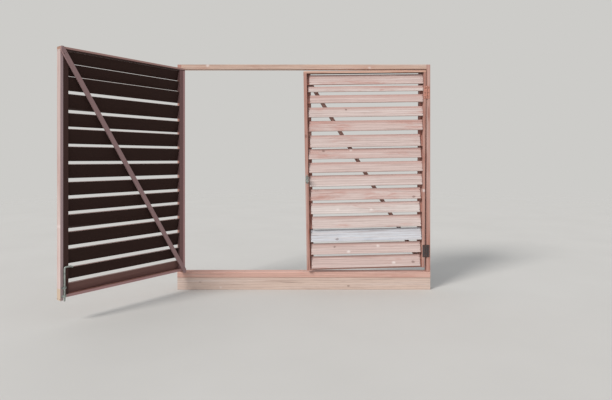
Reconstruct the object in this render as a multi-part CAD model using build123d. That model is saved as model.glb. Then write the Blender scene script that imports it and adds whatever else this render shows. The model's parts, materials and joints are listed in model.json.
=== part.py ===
# Pair of louvred timber barn doors in their own frame, with the wall left away.
#
# Frame: +Z up, +X to the right seen from outside, +Y into the barn. The origin is the middle of the
# frame's foot: halfway along the sill beam, halfway through its depth, on its underside.
#
# A leaf is a box of boards on edge, two stiles and two rails, with fifteen tilted louvre boards in it.
# The louvres lie against saw-toothed cleats nailed to the stiles, and a diagonal batten on the inner
# face braces the leaf. Two butt hinges carry each leaf on the outer face of its jamb. The left leaf
# stands open and holds a cane bolt that drops into a hole in the threshold. The right leaf is ajar and
# has sagged: its rails fall towards the free side, and its hinge stile leans to make up for it.
#
# Every piece of a leaf is drawn for a closed leaf hung on the left, in the leaf's own axes: X from the
# hinge to the free edge, Y from the outer face inwards, Z up. It is then let down by the sag, moved to
# the jamb, turned about the hinge pins and, for the right leaf, mirrored.

import os
from dataclasses import dataclass
from math import cos, hypot, radians, sin, tan

from build123d import *

# Frame timbers
OPENING_WIDTH = 3008
OPENING_HEIGHT = 2488
FRAME_DEPTH = 100
JAMB_WIDTH = 45
HEADER_HEIGHT = 55
SILL_HEIGHT = 150
THRESHOLD_HEIGHT = 65
THRESHOLD_FRONT_LIP = 6
THRESHOLD_BACK_LIP = 14
THRESHOLD_ROUNDING = 8

# Leaves
HINGE_GAP = 6
LEAF_DEPTH = 70
HINGE_STILE_WIDTH = 28
RAIL_THICKNESS = 28
BRACE_WIDTH = 45
BRACE_THICKNESS = 22

# Louvre boards and the cleats that carry them
SLAT_THICKNESS = 20
SLAT_TILT = 16
SLAT_FACE_INSET = 2
SLAT_FOOT_LAP = 10
SLAT_FOOT_GAP = 2
CLEAT_WIDTH = 50
CLEAT_SPINE = 10

# Butt hinges
HINGE_HEIGHT = 150
HINGE_PLATE = 3
HINGE_FRAME_REACH = 38
HINGE_EDGE_MARGIN = 3
HINGE_FROM_HEAD = 288
HINGE_FROM_FOOT = 258
KNUCKLE_RADIUS = 7
KNUCKLES = 5
KNUCKLE_SPACING = 0.6
HINGE_PIN_RADIUS = 4.5
HINGE_PIN_CLEARANCE = 0.05
HINGE_PIN_HEAD_RADIUS = 6.5
HINGE_PIN_HEAD_HEIGHT = 4
HINGE_NOTCH_CLEARANCE = 1.5

# Cane bolt on the left leaf
BOLT_RADIUS = 8
BOLT_LENGTH = 330
BOLT_HANDLE = 80
BOLT_HANDLE_DIP = 8
BOLT_HANDLE_END = 24
BOLT_BEND_RADIUS = 16
BOLT_TIP_CHAMFER = 2
BOLT_INSET = 34
BOLT_STANDOFF = 14
BOLT_RAISED_GAP = 4
KEEP_HOLE_RADIUS = 12
KEEP_HOLE_SPARE = 8
GUIDE_HEIGHTS = (41, 121)
GUIDE_HEIGHT = 20
GUIDE_THICKNESS = 3
GUIDE_FOOT = 12
GUIDE_CLEARANCE = 0.5

# Hasp on the right leaf and staple on the left leaf
HASP_HEIGHT = 1107
HASP_PLATE = 2.5
HASP_BASE_HEIGHT = 110
HASP_BASE_WIDTH = 26
HASP_KNUCKLE_RADIUS = 4
HASP_KNUCKLE_LIFT = 0.3
HASP_KNUCKLE_SPACING = 0.6
HASP_PIN_RADIUS = 1.8
HASP_PIN_CLEARANCE = 0.05
HASP_PIN_INSET = 4
HASP_NOTCH = 2
HASP_STRAP_HEIGHT = 66
HASP_STRAP_KNUCKLE = 34
HASP_STRAP_END = 10
HASP_STRAP_ROUNDING = 12
HASP_SLOT_CLEARANCE = 2.5
HASP_PIN_HEAD_RADIUS = 3
HASP_PIN_HEAD_HEIGHT = 1
HASP_OPEN = 120
STAPLE_BAR_RADIUS = 3.5
STAPLE_HEIGHT = 40
STAPLE_REACH = 22
STAPLE_PLATE_HEIGHT = 65
STAPLE_PLATE_WIDTH = 24
STAPLE_BEND_RADIUS = 9

# Holes for the screws that fix the frame to the building
FIXING_RADIUS = 5
FIXING_SPACING = 700
FIXING_FROM_FOOT = 620
FIXING_FROM_HEAD = 588
HEADER_FIXING_SPACING = 1600


@dataclass
class Leaf:
    """One leaf: its side, how it fits its half of the opening, how it hangs, and its louvres.

    The clearances are those above and below the hinge side, and from the free side to the middle of
    the opening, which the wider leaf runs past. The louvres are given from the top down: the gap above each board, the relative share
    of the leaf's height that the gap and the board fill together, and the gaps between the board's ends
    and the stiles. The boards are of many sizes, and the gaps are as uneven as the boards were nailed.
    """

    side: str
    head_clearance: float
    foot_clearance: float
    free_clearance: float
    free_stile_width: float
    rail_lift: float
    open_angle: float
    sag: float
    hinge_lean: float
    louvre_gaps: tuple
    louvre_shares: tuple
    hinge_end_gaps: tuple
    free_end_gaps: tuple

    @property
    def width(self):
        return OPENING_WIDTH / 2 - HINGE_GAP - self.free_clearance

    @property
    def height(self):
        return OPENING_HEIGHT - self.head_clearance - self.foot_clearance


LEFT = Leaf(
    side="left",
    head_clearance=8,
    foot_clearance=10,
    free_clearance=14,
    free_stile_width=28,
    rail_lift=25,
    open_angle=127.7,
    sag=0,
    hinge_lean=0,
    louvre_gaps=(6, 6, 6, 32, 30, 22, 26, 28, 34, 28, 26, 28, 28, 30, 30),
    louvre_shares=(122, 125, 146, 189, 165, 170, 172, 169, 171, 157, 167, 170, 177, 154, 145),
    hinge_end_gaps=(6, 14, 9, 20, 5, 12, 26, 8, 15, 4, 18, 10, 24, 7, 13),
    free_end_gaps=(16, 9, 22, 12, 28, 7, 18, 14, 25, 10, 6, 20, 15, 30, 11),
)
RIGHT = Leaf(
    side="right",
    head_clearance=11,
    foot_clearance=57,
    free_clearance=-4,
    free_stile_width=36,
    rail_lift=0,
    open_angle=2.2,
    sag=1,
    hinge_lean=1.5,
    louvre_gaps=(15, 18, 36, 47, 41, 45, 18, 39, 32, 32, 31, 31, 14, 20, 25),
    louvre_shares=(141, 87, 136, 171, 172, 195, 143, 166, 168, 169, 165, 176, 163, 154, 168),
    hinge_end_gaps=(4, 3, 4, 3, 6, 32, 22, 3, 5, 24, 32, 16, 8, 20, 22),
    free_end_gaps=(33, 20, 36, 18, 22, 30, 8, 12, 15, 28, 27, 36, 18, 20, 22),
)

# Places that follow from the sizes
THRESHOLD_TOP = SILL_HEIGHT + THRESHOLD_HEIGHT
HEADER_UNDERSIDE = THRESHOLD_TOP + OPENING_HEIGHT
FRAME_TOP = HEADER_UNDERSIDE + HEADER_HEIGHT
FRAME_HALF = OPENING_WIDTH / 2 + JAMB_WIDTH
OUTER_FACE = -FRAME_DEPTH / 2
HINGE_EDGE = -OPENING_WIDTH / 2 + HINGE_GAP
PIN_X = -OPENING_WIDTH / 2 + HINGE_GAP / 2
PIN_Y = OUTER_FACE - KNUCKLE_RADIUS
HINGE_CENTRES = (HEADER_UNDERSIDE - HINGE_FROM_HEAD, THRESHOLD_TOP + HINGE_FROM_FOOT)
HINGE_NOTCH = KNUCKLE_RADIUS + HINGE_NOTCH_CLEARANCE
TILT = radians(SLAT_TILT)
SLAT_FOOT_DEPTH = SLAT_FACE_INSET + SLAT_THICKNESS * cos(TILT)
BOTTOM_RAIL_FRONT = SLAT_FOOT_DEPTH + SLAT_FOOT_LAP * tan(TILT) + SLAT_FOOT_GAP

# The cane bolt, in the left leaf's own axes
BOLT_AXIS = LEFT.width - BOLT_INSET
BOLT_DEPTH = LEAF_DEPTH + BOLT_STANDOFF
BOLT_TIP = BOLT_RAISED_GAP - LEFT.foot_clearance
BOLT_HEAD = BOLT_TIP + BOLT_LENGTH
BOLT_DROP = BOLT_HEAD - BOLT_BEND_RADIUS - GUIDE_HEIGHTS[1] - GUIDE_HEIGHT / 2
KEEP_HOLE_FOOT = THRESHOLD_TOP + BOLT_RAISED_GAP - BOLT_DROP - KEEP_HOLE_SPARE


def closed_place(leaf, along, height):
    """Where a point of a closed leaf hung on the left lies in the frame: X and Z."""
    sag = radians(leaf.sag)
    below = leaf.height - height
    x = HINGE_EDGE + along * cos(sag) - below * sin(sag)
    z = HEADER_UNDERSIDE - leaf.head_clearance - along * sin(sag) - below * cos(sag)
    return x, z


# The hasp, whose strap reaches the staple when both leaves are shut
HASP_PIN_ALONG = RIGHT.width - HASP_PIN_INSET
HASP_PIN_DEPTH = -HASP_KNUCKLE_RADIUS - HASP_KNUCKLE_LIFT
HASP_PIN_X, HASP_PIN_Z = closed_place(RIGHT, HASP_PIN_ALONG, HASP_HEIGHT)
STAPLE_ALONG = LEFT.width - LEFT.free_stile_width / 2
STAPLE_X, STAPLE_FOOT_Z = closed_place(LEFT, STAPLE_ALONG, 0)
HASP_REACH = (-HASP_PIN_X - STAPLE_X) / cos(radians(RIGHT.sag))
STAPLE_CENTRE = HASP_PIN_Z - HASP_REACH * sin(radians(RIGHT.sag)) - STAPLE_FOOT_Z
HASP_SLOT_NEAR = HASP_REACH - STAPLE_BAR_RADIUS - HASP_SLOT_CLEARANCE
HASP_SLOT_FAR = hypot(HASP_REACH + STAPLE_BAR_RADIUS, STAPLE_REACH + HASP_PIN_DEPTH) + HASP_SLOT_CLEARANCE
HASP_STRAP_LENGTH = HASP_SLOT_FAR + HASP_STRAP_END


def save(node, *solids):
    """Write one node, a single solid or a group of like solids, to its STEP file."""
    shape = solids[0] if len(solids) == 1 else Compound(list(solids))
    export_step(shape, f"parts/{node}.step")


def block(x, y, z):
    """A box from its two bounds along each axis, in either order."""
    low = [min(pair) for pair in (x, y, z)]
    size = [max(pair) - min(pair) for pair in (x, y, z)]
    return Pos(*low) * Box(*size, align=(Align.MIN, Align.MIN, Align.MIN))


def upright(x, y, z, radius):
    """An upright cylinder between two heights."""
    return Pos(x, y, z[0]) * Cylinder(radius, z[1] - z[0], align=(Align.CENTER, Align.CENTER, Align.MIN))


def front_prism(points, depth):
    """A solid whose outline is seen from the front, running between two depths."""
    face = Plane.XZ * make_face(Polyline(*points, close=True))
    return Pos(0, depth[0], 0) * extrude(face, amount=depth[0] - depth[1])


def side_prism(points, x):
    """A solid whose outline is seen from the side, running between two places along X."""
    face = Plane.YZ * make_face(Polyline(*points, close=True))
    return Pos(x[0], 0, 0) * extrude(face, amount=x[1] - x[0])


def bent_bar(points, bend_radius, bar_radius):
    """A round bar along straight runs joined by bends."""
    path = FilletPolyline(*points, radius=bend_radius)
    start = Plane(origin=path @ 0, z_dir=path % 0)
    return sweep(start * Circle(bar_radius), path=path)


def swing(leaf, shape):
    """Turn a shape made for a closed left leaf about the hinge pins, and mirror it for the right."""
    pins = Axis((PIN_X, PIN_Y, 0), (0, 0, 1))
    opened = shape.rotate(pins, -leaf.open_angle)
    return to_side(leaf, opened)


def to_side(leaf, shape):
    """Mirror a shape made for the left side if its leaf hangs on the right."""
    return shape if leaf.side == "left" else mirror(shape, Plane.YZ)


def hang(leaf, shape):
    """Move a shape from the leaf's own axes to the jamb, let down by the sag, and open the leaf."""
    top = HEADER_UNDERSIDE - leaf.head_clearance
    closed = Pos(HINGE_EDGE, OUTER_FACE, top) * Rot(0, leaf.sag, 0) * Pos(0, 0, -leaf.height) * shape
    return swing(leaf, closed)


# Frame timbers

def keep_hole():
    """The hole that the cane bolt drops into when the left leaf is shut."""
    z = (KEEP_HOLE_FOOT, THRESHOLD_TOP)
    return upright(HINGE_EDGE + BOLT_AXIS, OUTER_FACE + BOLT_DEPTH, z, KEEP_HOLE_RADIUS)


def sill_beam():
    """The heavy timber that the frame stands on."""
    timber = block((-FRAME_HALF, FRAME_HALF), (OUTER_FACE, -OUTER_FACE), (0, SILL_HEIGHT))
    return timber - keep_hole()


def threshold():
    """The tread, which stands out before the sill and is rounded along its front edge."""
    depth = (OUTER_FACE - THRESHOLD_FRONT_LIP, -OUTER_FACE + THRESHOLD_BACK_LIP)
    tread = block((-FRAME_HALF, FRAME_HALF), depth, (SILL_HEIGHT, THRESHOLD_TOP))
    front_edge = tread.edges().filter_by(Axis.X).sort_by(Axis.Z)[-2:].sort_by(Axis.Y)[0]
    return fillet(front_edge, THRESHOLD_ROUNDING) - keep_hole()


def jamb(leaf):
    """A jamb with its four fixing holes, on the leaf's side."""
    post = block((-FRAME_HALF, -OPENING_WIDTH / 2), (OUTER_FACE, -OUTER_FACE), (THRESHOLD_TOP, FRAME_TOP))
    for centre in (THRESHOLD_TOP + FIXING_FROM_FOOT, HEADER_UNDERSIDE - FIXING_FROM_HEAD):
        for offset in (-FIXING_SPACING / 2, FIXING_SPACING / 2):
            place = Pos(-FRAME_HALF + JAMB_WIDTH / 2, 0, centre + offset)
            post -= place * Rot(0, 90, 0) * Cylinder(FIXING_RADIUS, 2 * JAMB_WIDTH)
    return to_side(leaf, post)


def header():
    """The beam between the jamb heads, with two fixing holes from below."""
    half = OPENING_WIDTH / 2
    beam = block((-half, half), (OUTER_FACE, -OUTER_FACE), (HEADER_UNDERSIDE, FRAME_TOP))
    for x in (-HEADER_FIXING_SPACING / 2, HEADER_FIXING_SPACING / 2):
        beam -= upright(x, 0, (HEADER_UNDERSIDE, FRAME_TOP), FIXING_RADIUS)
    return beam


# Timber of a leaf, in the leaf's own axes

def hinge_side(leaf, height, inset=0):
    """Where the leaning hinge side, set in by some width, lies at a height."""
    return (leaf.height - height) * tan(radians(leaf.hinge_lean)) + inset


def between_sides(leaf, near, far, low, high):
    """Outline from the hinge side set in by near to the free side set in by far, between heights."""
    foot = [(hinge_side(leaf, low, near), low), (leaf.width - far, low)]
    head = [(leaf.width - far, high), (hinge_side(leaf, high, near), high)]
    return foot + head


def along_hinge_side(leaf, near, far, low, high):
    """Outline of a strip that follows the leaning hinge side, from near to far inside it."""
    foot = [(hinge_side(leaf, low, near), low), (hinge_side(leaf, low, far), low)]
    head = [(hinge_side(leaf, high, far), high), (hinge_side(leaf, high, near), high)]
    return foot + head


def leaf_rim(leaf):
    """The two stiles and two rails.

    The top rail runs over the stiles. The bottom rail fits between them, set back behind the foot of
    the last louvre, which laps over it.
    """
    depth = (0, LEAF_DEPTH)
    head = leaf.height - RAIL_THICKNESS
    foot = leaf.rail_lift
    free_stile = (leaf.width - leaf.free_stile_width, leaf.width)
    bottom = between_sides(leaf, HINGE_STILE_WIDTH, leaf.free_stile_width, foot, foot + RAIL_THICKNESS)
    return {
        "hinge_stile": front_prism(along_hinge_side(leaf, 0, HINGE_STILE_WIDTH, 0, head), depth),
        "free_stile": block(free_stile, depth, (0, head)),
        "top_rail": front_prism(between_sides(leaf, 0, 0, head, leaf.height), depth),
        "bottom_rail": front_prism(bottom, (BOTTOM_RAIL_FRONT, LEAF_DEPTH)),
    }


def louvre_spans(leaf):
    """The highest and lowest point of each louvre board, from the top down."""
    top = leaf.height - RAIL_THICKNESS
    unit = (top - leaf.rail_lift - RAIL_THICKNESS + SLAT_FOOT_LAP) / sum(leaf.louvre_shares)
    spans = []
    for gap, share in zip(leaf.louvre_gaps, leaf.louvre_shares):
        spans.append((top - gap, top - share * unit))
        top -= share * unit
    return spans


def louvre_corners(high, low):
    """Section of a louvre from the side: outer foot, inner foot, inner head and outer head."""
    board = (high - low - SLAT_THICKNESS * sin(TILT)) / cos(TILT)
    rise = (board * sin(TILT), board * cos(TILT))
    through = (SLAT_THICKNESS * cos(TILT), -SLAT_THICKNESS * sin(TILT))
    outer_foot = (SLAT_FACE_INSET, high - rise[1])
    inner_foot = (SLAT_FOOT_DEPTH, outer_foot[1] + through[1])
    inner_head = (inner_foot[0] + rise[0], inner_foot[1] + rise[1])
    outer_head = (outer_foot[0] + rise[0], outer_foot[1] + rise[1])
    return outer_foot, inner_foot, inner_head, outer_head


def louvre(leaf, span, hinge_gap, free_gap):
    """One tilted louvre board, its ends cut to stop short of the stiles."""
    near = HINGE_STILE_WIDTH + hinge_gap
    far = leaf.free_stile_width + free_gap
    ends = between_sides(leaf, near, far, 0, leaf.height)
    return side_prism(louvre_corners(*span), (0, leaf.width)) & front_prism(ends, (0, LEAF_DEPTH))


def cleat_outline(leaf):
    """Saw-toothed section of a cleat: a spine at the inner face, and under each louvre a tooth."""
    spine = LEAF_DEPTH - CLEAT_SPINE
    foot = leaf.rail_lift + RAIL_THICKNESS
    head = leaf.height - RAIL_THICKNESS
    points = [(LEAF_DEPTH, foot), (LEAF_DEPTH, head), (spine, head)]
    for high, low in louvre_spans(leaf):
        inner_foot, inner_head = louvre_corners(high, low)[1:3]
        shoulder = inner_head[1] + max(0, inner_head[0] - spine) * tan(TILT)
        seat = max(inner_foot[1], foot)
        seat_depth = inner_foot[0] + (seat - inner_foot[1]) * tan(TILT)
        points += [(spine, shoulder), inner_head, (seat_depth, seat), (spine, seat)]
    return points


def cleats(leaf):
    """The two cleats, one on each stile."""
    outline = cleat_outline(leaf)
    far = HINGE_STILE_WIDTH + CLEAT_WIDTH
    strip = front_prism(along_hinge_side(leaf, HINGE_STILE_WIDTH, far, 0, leaf.height), (0, LEAF_DEPTH))
    on_hinge_stile = side_prism(outline, (0, leaf.width)) & strip
    free_stile = leaf.width - leaf.free_stile_width
    return on_hinge_stile, side_prism(outline, (free_stile - CLEAT_WIDTH, free_stile))


def brace(leaf):
    """The diagonal batten on the inner face, from the hinge side's foot to the free side's head."""
    start_x = hinge_side(leaf, 0)
    run = leaf.width - start_x
    length = hypot(run, leaf.height)
    side_x = BRACE_WIDTH / 2 * leaf.height / length
    side_z = BRACE_WIDTH / 2 * run / length
    past_x = BRACE_WIDTH * run / length
    past_z = BRACE_WIDTH * leaf.height / length
    low = (start_x - past_x, -past_z)
    high = (leaf.width + past_x, leaf.height + past_z)
    outline = [
        (low[0] + side_x, low[1] - side_z),
        (high[0] + side_x, high[1] - side_z),
        (high[0] - side_x, high[1] + side_z),
        (low[0] - side_x, low[1] + side_z),
    ]
    depth = (LEAF_DEPTH, LEAF_DEPTH + BRACE_THICKNESS)
    return front_prism(outline, depth) & front_prism(between_sides(leaf, 0, 0, 0, leaf.height), depth)


# Butt hinges, made for the left side with the leaf shut

def hinge_half(centre, reach, side, first):
    """Plate and barrels of half a hinge: side is -1 over the jamb, 1 over the leaf."""
    low = centre - HINGE_HEIGHT / 2
    high = centre + HINGE_HEIGHT / 2
    plate_y = (OUTER_FACE - HINGE_PLATE, OUTER_FACE)
    half = block((PIN_X + side * HINGE_NOTCH, PIN_X + side * reach), plate_y, (low, high))
    share = HINGE_HEIGHT / KNUCKLES
    for index in range(first, KNUCKLES, 2):
        foot = low + index * share + KNUCKLE_SPACING / 2
        z = (foot, foot + share - KNUCKLE_SPACING)
        half += block((PIN_X, PIN_X + side * HINGE_NOTCH), plate_y, z)
        half += upright(PIN_X, PIN_Y, z, KNUCKLE_RADIUS)
    return half - upright(PIN_X, PIN_Y, (low, high), HINGE_PIN_RADIUS + HINGE_PIN_CLEARANCE)


def leaf_plate_reach(leaf, centre):
    """How far a leaf plate runs from the pin to cross the gap and lie over most of the stile."""
    below = HEADER_UNDERSIDE - leaf.head_clearance - centre
    drift = below * (tan(radians(leaf.hinge_lean)) - sin(radians(leaf.sag)))
    return HINGE_GAP / 2 + drift + HINGE_STILE_WIDTH - HINGE_EDGE_MARGIN


def hinge_pin(centre):
    """A pin, its head resting on the top knuckle."""
    low = centre - HINGE_HEIGHT / 2
    neck = centre + HINGE_HEIGHT / 2 - KNUCKLE_SPACING / 2
    shank = upright(PIN_X, PIN_Y, (low, neck), HINGE_PIN_RADIUS)
    return shank + upright(PIN_X, PIN_Y, (neck, neck + HINGE_PIN_HEAD_HEIGHT), HINGE_PIN_HEAD_RADIUS)


# Cane bolt and its guides, in the left leaf's own axes

def cane_bolt():
    """The rod, bent over at the top into a handle that points to the hinge side and dips at its end."""
    handle_end = BOLT_AXIS - BOLT_HANDLE
    points = [
        (BOLT_AXIS, BOLT_DEPTH, BOLT_TIP),
        (BOLT_AXIS, BOLT_DEPTH, BOLT_HEAD),
        (handle_end + BOLT_HANDLE_END, BOLT_DEPTH, BOLT_HEAD),
        (handle_end, BOLT_DEPTH, BOLT_HEAD - BOLT_HANDLE_DIP),
    ]
    rod = bent_bar(points, BOLT_BEND_RADIUS, BOLT_RADIUS)
    tip_edge = rod.edges().sort_by(Axis.Z)[0]
    return chamfer(tip_edge, BOLT_TIP_CHAMFER)


def bolt_guide(height):
    """A strap bent over the rod, with a foot on each side against the inner face."""
    inner = BOLT_RADIUS + GUIDE_CLEARANCE
    outer = inner + GUIDE_THICKNESS
    z = (height - GUIDE_HEIGHT / 2, height + GUIDE_HEIGHT / 2)
    arch = upright(BOLT_AXIS, BOLT_DEPTH, z, outer)
    arch += block((BOLT_AXIS - outer, BOLT_AXIS + outer), (LEAF_DEPTH, BOLT_DEPTH), z)
    foot = outer + GUIDE_FOOT
    arch += block((BOLT_AXIS - foot, BOLT_AXIS + foot), (LEAF_DEPTH, LEAF_DEPTH + GUIDE_THICKNESS), z)
    arch -= upright(BOLT_AXIS, BOLT_DEPTH, z, inner)
    return arch - block((BOLT_AXIS - inner, BOLT_AXIS + inner), (LEAF_DEPTH, BOLT_DEPTH), z)


# Staple in the left leaf's own axes, hasp in the right leaf's

def staple():
    """A plate on the free stile with a bent bar standing out of it."""
    plate_x = (STAPLE_ALONG - STAPLE_PLATE_WIDTH / 2, STAPLE_ALONG + STAPLE_PLATE_WIDTH / 2)
    plate_z = (STAPLE_CENTRE - STAPLE_PLATE_HEIGHT / 2, STAPLE_CENTRE + STAPLE_PLATE_HEIGHT / 2)
    plate = block(plate_x, (-HASP_PLATE, 0), plate_z)
    leg = STAPLE_HEIGHT / 2 - STAPLE_BAR_RADIUS
    front = STAPLE_BAR_RADIUS - STAPLE_REACH
    points = [
        (STAPLE_ALONG, -HASP_PLATE / 2, STAPLE_CENTRE - leg),
        (STAPLE_ALONG, front, STAPLE_CENTRE - leg),
        (STAPLE_ALONG, front, STAPLE_CENTRE + leg),
        (STAPLE_ALONG, -HASP_PLATE / 2, STAPLE_CENTRE + leg),
    ]
    return plate + bent_bar(points, STAPLE_BEND_RADIUS, STAPLE_BAR_RADIUS)


def hasp_barrel(low, high):
    """A knuckle of the hasp between two heights about its middle, not yet bored."""
    return upright(HASP_PIN_ALONG, HASP_PIN_DEPTH, (HASP_HEIGHT + low, HASP_HEIGHT + high), HASP_KNUCKLE_RADIUS)


def hasp_bore():
    """What the pin takes out of every knuckle."""
    z = (HASP_HEIGHT - HASP_STRAP_HEIGHT, HASP_HEIGHT + HASP_STRAP_HEIGHT)
    return upright(HASP_PIN_ALONG, HASP_PIN_DEPTH, z, HASP_PIN_RADIUS + HASP_PIN_CLEARANCE)


def hasp_base():
    """The plate on the free stile, with a knuckle above and one below the strap's."""
    edge = HASP_PIN_ALONG - HASP_KNUCKLE_RADIUS - HASP_NOTCH
    plate_x = (RIGHT.width - HASP_BASE_WIDTH, edge)
    plate_y = (-HASP_PLATE, 0)
    plate_z = (HASP_HEIGHT - HASP_BASE_HEIGHT / 2, HASP_HEIGHT + HASP_BASE_HEIGHT / 2)
    base = block(plate_x, plate_y, plate_z)
    inner = HASP_STRAP_KNUCKLE / 2 + HASP_KNUCKLE_SPACING
    outer = HASP_STRAP_HEIGHT / 2
    for low, high in ((inner, outer), (-outer, -inner)):
        base += block((edge, HASP_PIN_ALONG), plate_y, (HASP_HEIGHT + low, HASP_HEIGHT + high))
        base += hasp_barrel(low, high)
    return base - hasp_bore()


def hasp_pin():
    """The pin, riveted over at both ends."""
    half = HASP_STRAP_HEIGHT / 2
    reach = half + HASP_PIN_HEAD_HEIGHT
    low = HASP_HEIGHT - half
    high = HASP_HEIGHT + half
    pin = upright(HASP_PIN_ALONG, HASP_PIN_DEPTH, (low, high), HASP_PIN_RADIUS)
    for z in ((HASP_HEIGHT - reach, low), (high, HASP_HEIGHT + reach)):
        pin += upright(HASP_PIN_ALONG, HASP_PIN_DEPTH, z, HASP_PIN_HEAD_RADIUS)
    return pin


def hasp_strap():
    """The slotted strap, swung open about its pin."""
    half = HASP_STRAP_HEIGHT / 2
    y = (HASP_PIN_DEPTH - HASP_PLATE / 2, HASP_PIN_DEPTH + HASP_PLATE / 2)
    near = HASP_PIN_ALONG + HASP_KNUCKLE_RADIUS + HASP_NOTCH
    far = HASP_PIN_ALONG + HASP_STRAP_LENGTH
    strap = block((near, far), y, (HASP_HEIGHT - half, HASP_HEIGHT + half))
    strap = fillet(strap.edges().filter_by(Axis.Y).group_by(Axis.X)[-1], HASP_STRAP_ROUNDING)
    knuckle = HASP_STRAP_KNUCKLE / 2
    strap += block((HASP_PIN_ALONG, near), y, (HASP_HEIGHT - knuckle, HASP_HEIGHT + knuckle))
    strap += hasp_barrel(-knuckle, knuckle)
    slot_x = (HASP_PIN_ALONG + HASP_SLOT_NEAR, HASP_PIN_ALONG + HASP_SLOT_FAR)
    slot_half = STAPLE_HEIGHT / 2 + HASP_SLOT_CLEARANCE
    slot = block(slot_x, y, (HASP_HEIGHT - slot_half, HASP_HEIGHT + slot_half))
    strap = strap - slot - hasp_bore()
    return strap.rotate(Axis((HASP_PIN_ALONG, HASP_PIN_DEPTH, 0), (0, 0, 1)), -HASP_OPEN)


# Writing the nodes

def save_frame():
    """The timbers that stand still, with the jamb halves of the hinges and their pins."""
    save("sill_beam", sill_beam())
    save("threshold", threshold())
    save("header", header())
    for leaf in (LEFT, RIGHT):
        save(f"{leaf.side}_jamb", jamb(leaf))
        plates = [hinge_half(centre, HINGE_FRAME_REACH, -1, 0) for centre in HINGE_CENTRES]
        save(f"{leaf.side}_frame_hinge_plates", *[to_side(leaf, plate) for plate in plates])
        save(f"{leaf.side}_hinge_pins", *[to_side(leaf, hinge_pin(centre)) for centre in HINGE_CENTRES])


def save_leaf(leaf):
    """The timber of one leaf and the leaf halves of its hinges."""
    for name, timber in leaf_rim(leaf).items():
        save(f"{leaf.side}_{name}", hang(leaf, timber))
    boards = zip(louvre_spans(leaf), leaf.hinge_end_gaps, leaf.free_end_gaps)
    for number, board in enumerate(boards, start=1):
        save(f"{leaf.side}_slat_{number:02d}", hang(leaf, louvre(leaf, *board)))
    save(f"{leaf.side}_cleats", *[hang(leaf, cleat) for cleat in cleats(leaf)])
    save(f"{leaf.side}_brace", hang(leaf, brace(leaf)))
    plates = [hinge_half(centre, leaf_plate_reach(leaf, centre), 1, 1) for centre in HINGE_CENTRES]
    save(f"{leaf.side}_leaf_hinge_plates", *[swing(leaf, plate) for plate in plates])


def save_latches():
    """The cane bolt and staple of the left leaf and the hasp of the right leaf."""
    save("cane_bolt", hang(LEFT, cane_bolt()))
    save("bolt_guides", *[hang(LEFT, bolt_guide(height)) for height in GUIDE_HEIGHTS])
    save("staple", hang(LEFT, staple()))
    save("hasp_base", hang(RIGHT, hasp_base()))
    save("hasp_pin", hang(RIGHT, hasp_pin()))
    save("hasp_strap", hang(RIGHT, hasp_strap()))


def print_joint_places():
    """Print where the joint axes lie, in metres."""
    print("hinge pins", -PIN_X / 1000, PIN_Y / 1000)
    bolt = hang(LEFT, upright(BOLT_AXIS, BOLT_DEPTH, (BOLT_TIP, BOLT_HEAD), BOLT_RADIUS)).center() / 1000
    print("cane bolt axis", bolt, "drop", BOLT_DROP / 1000)
    ends = []
    for height in (HASP_HEIGHT - HASP_STRAP_HEIGHT, HASP_HEIGHT + HASP_STRAP_HEIGHT):
        z = (height - HASP_PIN_RADIUS, height + HASP_PIN_RADIUS)
        marker = upright(HASP_PIN_ALONG, HASP_PIN_DEPTH, z, HASP_PIN_RADIUS)
        ends.append(hang(RIGHT, marker).center())
    print("hasp pin", (ends[0] + ends[1]) / 2000, "axis", (ends[1] - ends[0]).normalized())


os.makedirs("parts", exist_ok=True)
save_frame()
save_leaf(LEFT)
save_leaf(RIGHT)
save_latches()
print_joint_places()
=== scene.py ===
# Looks of the pair of louvred barn doors: weathered, once red boards in a pinkish timber frame, painted
# and dark iron hinges, a galvanised cane bolt, hasp and staple, and every nail and screw.

import json
import random
from dataclasses import dataclass
from math import cos, pi, radians, sin

import bmesh
import bpy
from mathutils import Matrix, Vector


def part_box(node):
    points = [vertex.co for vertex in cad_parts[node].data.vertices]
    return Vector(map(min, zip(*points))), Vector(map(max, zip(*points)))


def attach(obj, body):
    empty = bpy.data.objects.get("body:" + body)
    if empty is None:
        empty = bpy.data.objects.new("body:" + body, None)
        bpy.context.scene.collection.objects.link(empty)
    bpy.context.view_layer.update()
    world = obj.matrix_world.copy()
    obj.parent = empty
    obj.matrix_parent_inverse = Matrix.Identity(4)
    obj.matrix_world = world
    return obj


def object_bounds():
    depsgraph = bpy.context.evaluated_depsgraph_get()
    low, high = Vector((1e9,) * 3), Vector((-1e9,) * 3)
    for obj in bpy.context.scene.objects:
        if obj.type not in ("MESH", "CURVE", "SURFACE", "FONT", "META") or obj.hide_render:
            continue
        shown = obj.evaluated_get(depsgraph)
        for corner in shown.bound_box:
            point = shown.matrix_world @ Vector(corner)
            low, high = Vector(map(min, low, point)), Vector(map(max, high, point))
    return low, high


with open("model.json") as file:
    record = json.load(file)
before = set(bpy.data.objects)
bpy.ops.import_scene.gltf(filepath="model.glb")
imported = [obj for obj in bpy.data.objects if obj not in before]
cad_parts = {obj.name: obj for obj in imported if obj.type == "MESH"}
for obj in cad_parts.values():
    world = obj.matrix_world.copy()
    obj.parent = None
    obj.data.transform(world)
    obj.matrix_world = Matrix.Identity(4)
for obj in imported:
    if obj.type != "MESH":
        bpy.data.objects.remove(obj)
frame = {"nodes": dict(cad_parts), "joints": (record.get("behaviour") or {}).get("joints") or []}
cad_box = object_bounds()

MM = 0.001
UP = Vector((0, 0, 1))
ALONG_X = Vector((1, 0, 0))
OUTWARD = Vector((0, -1, 0))
SIDES = ("left", "right")
LOUVRES = 15
GREY_LOUVRE = "right_slat_13"
LAST_LEFT_LOUVRE = "left_slat_15"


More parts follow.
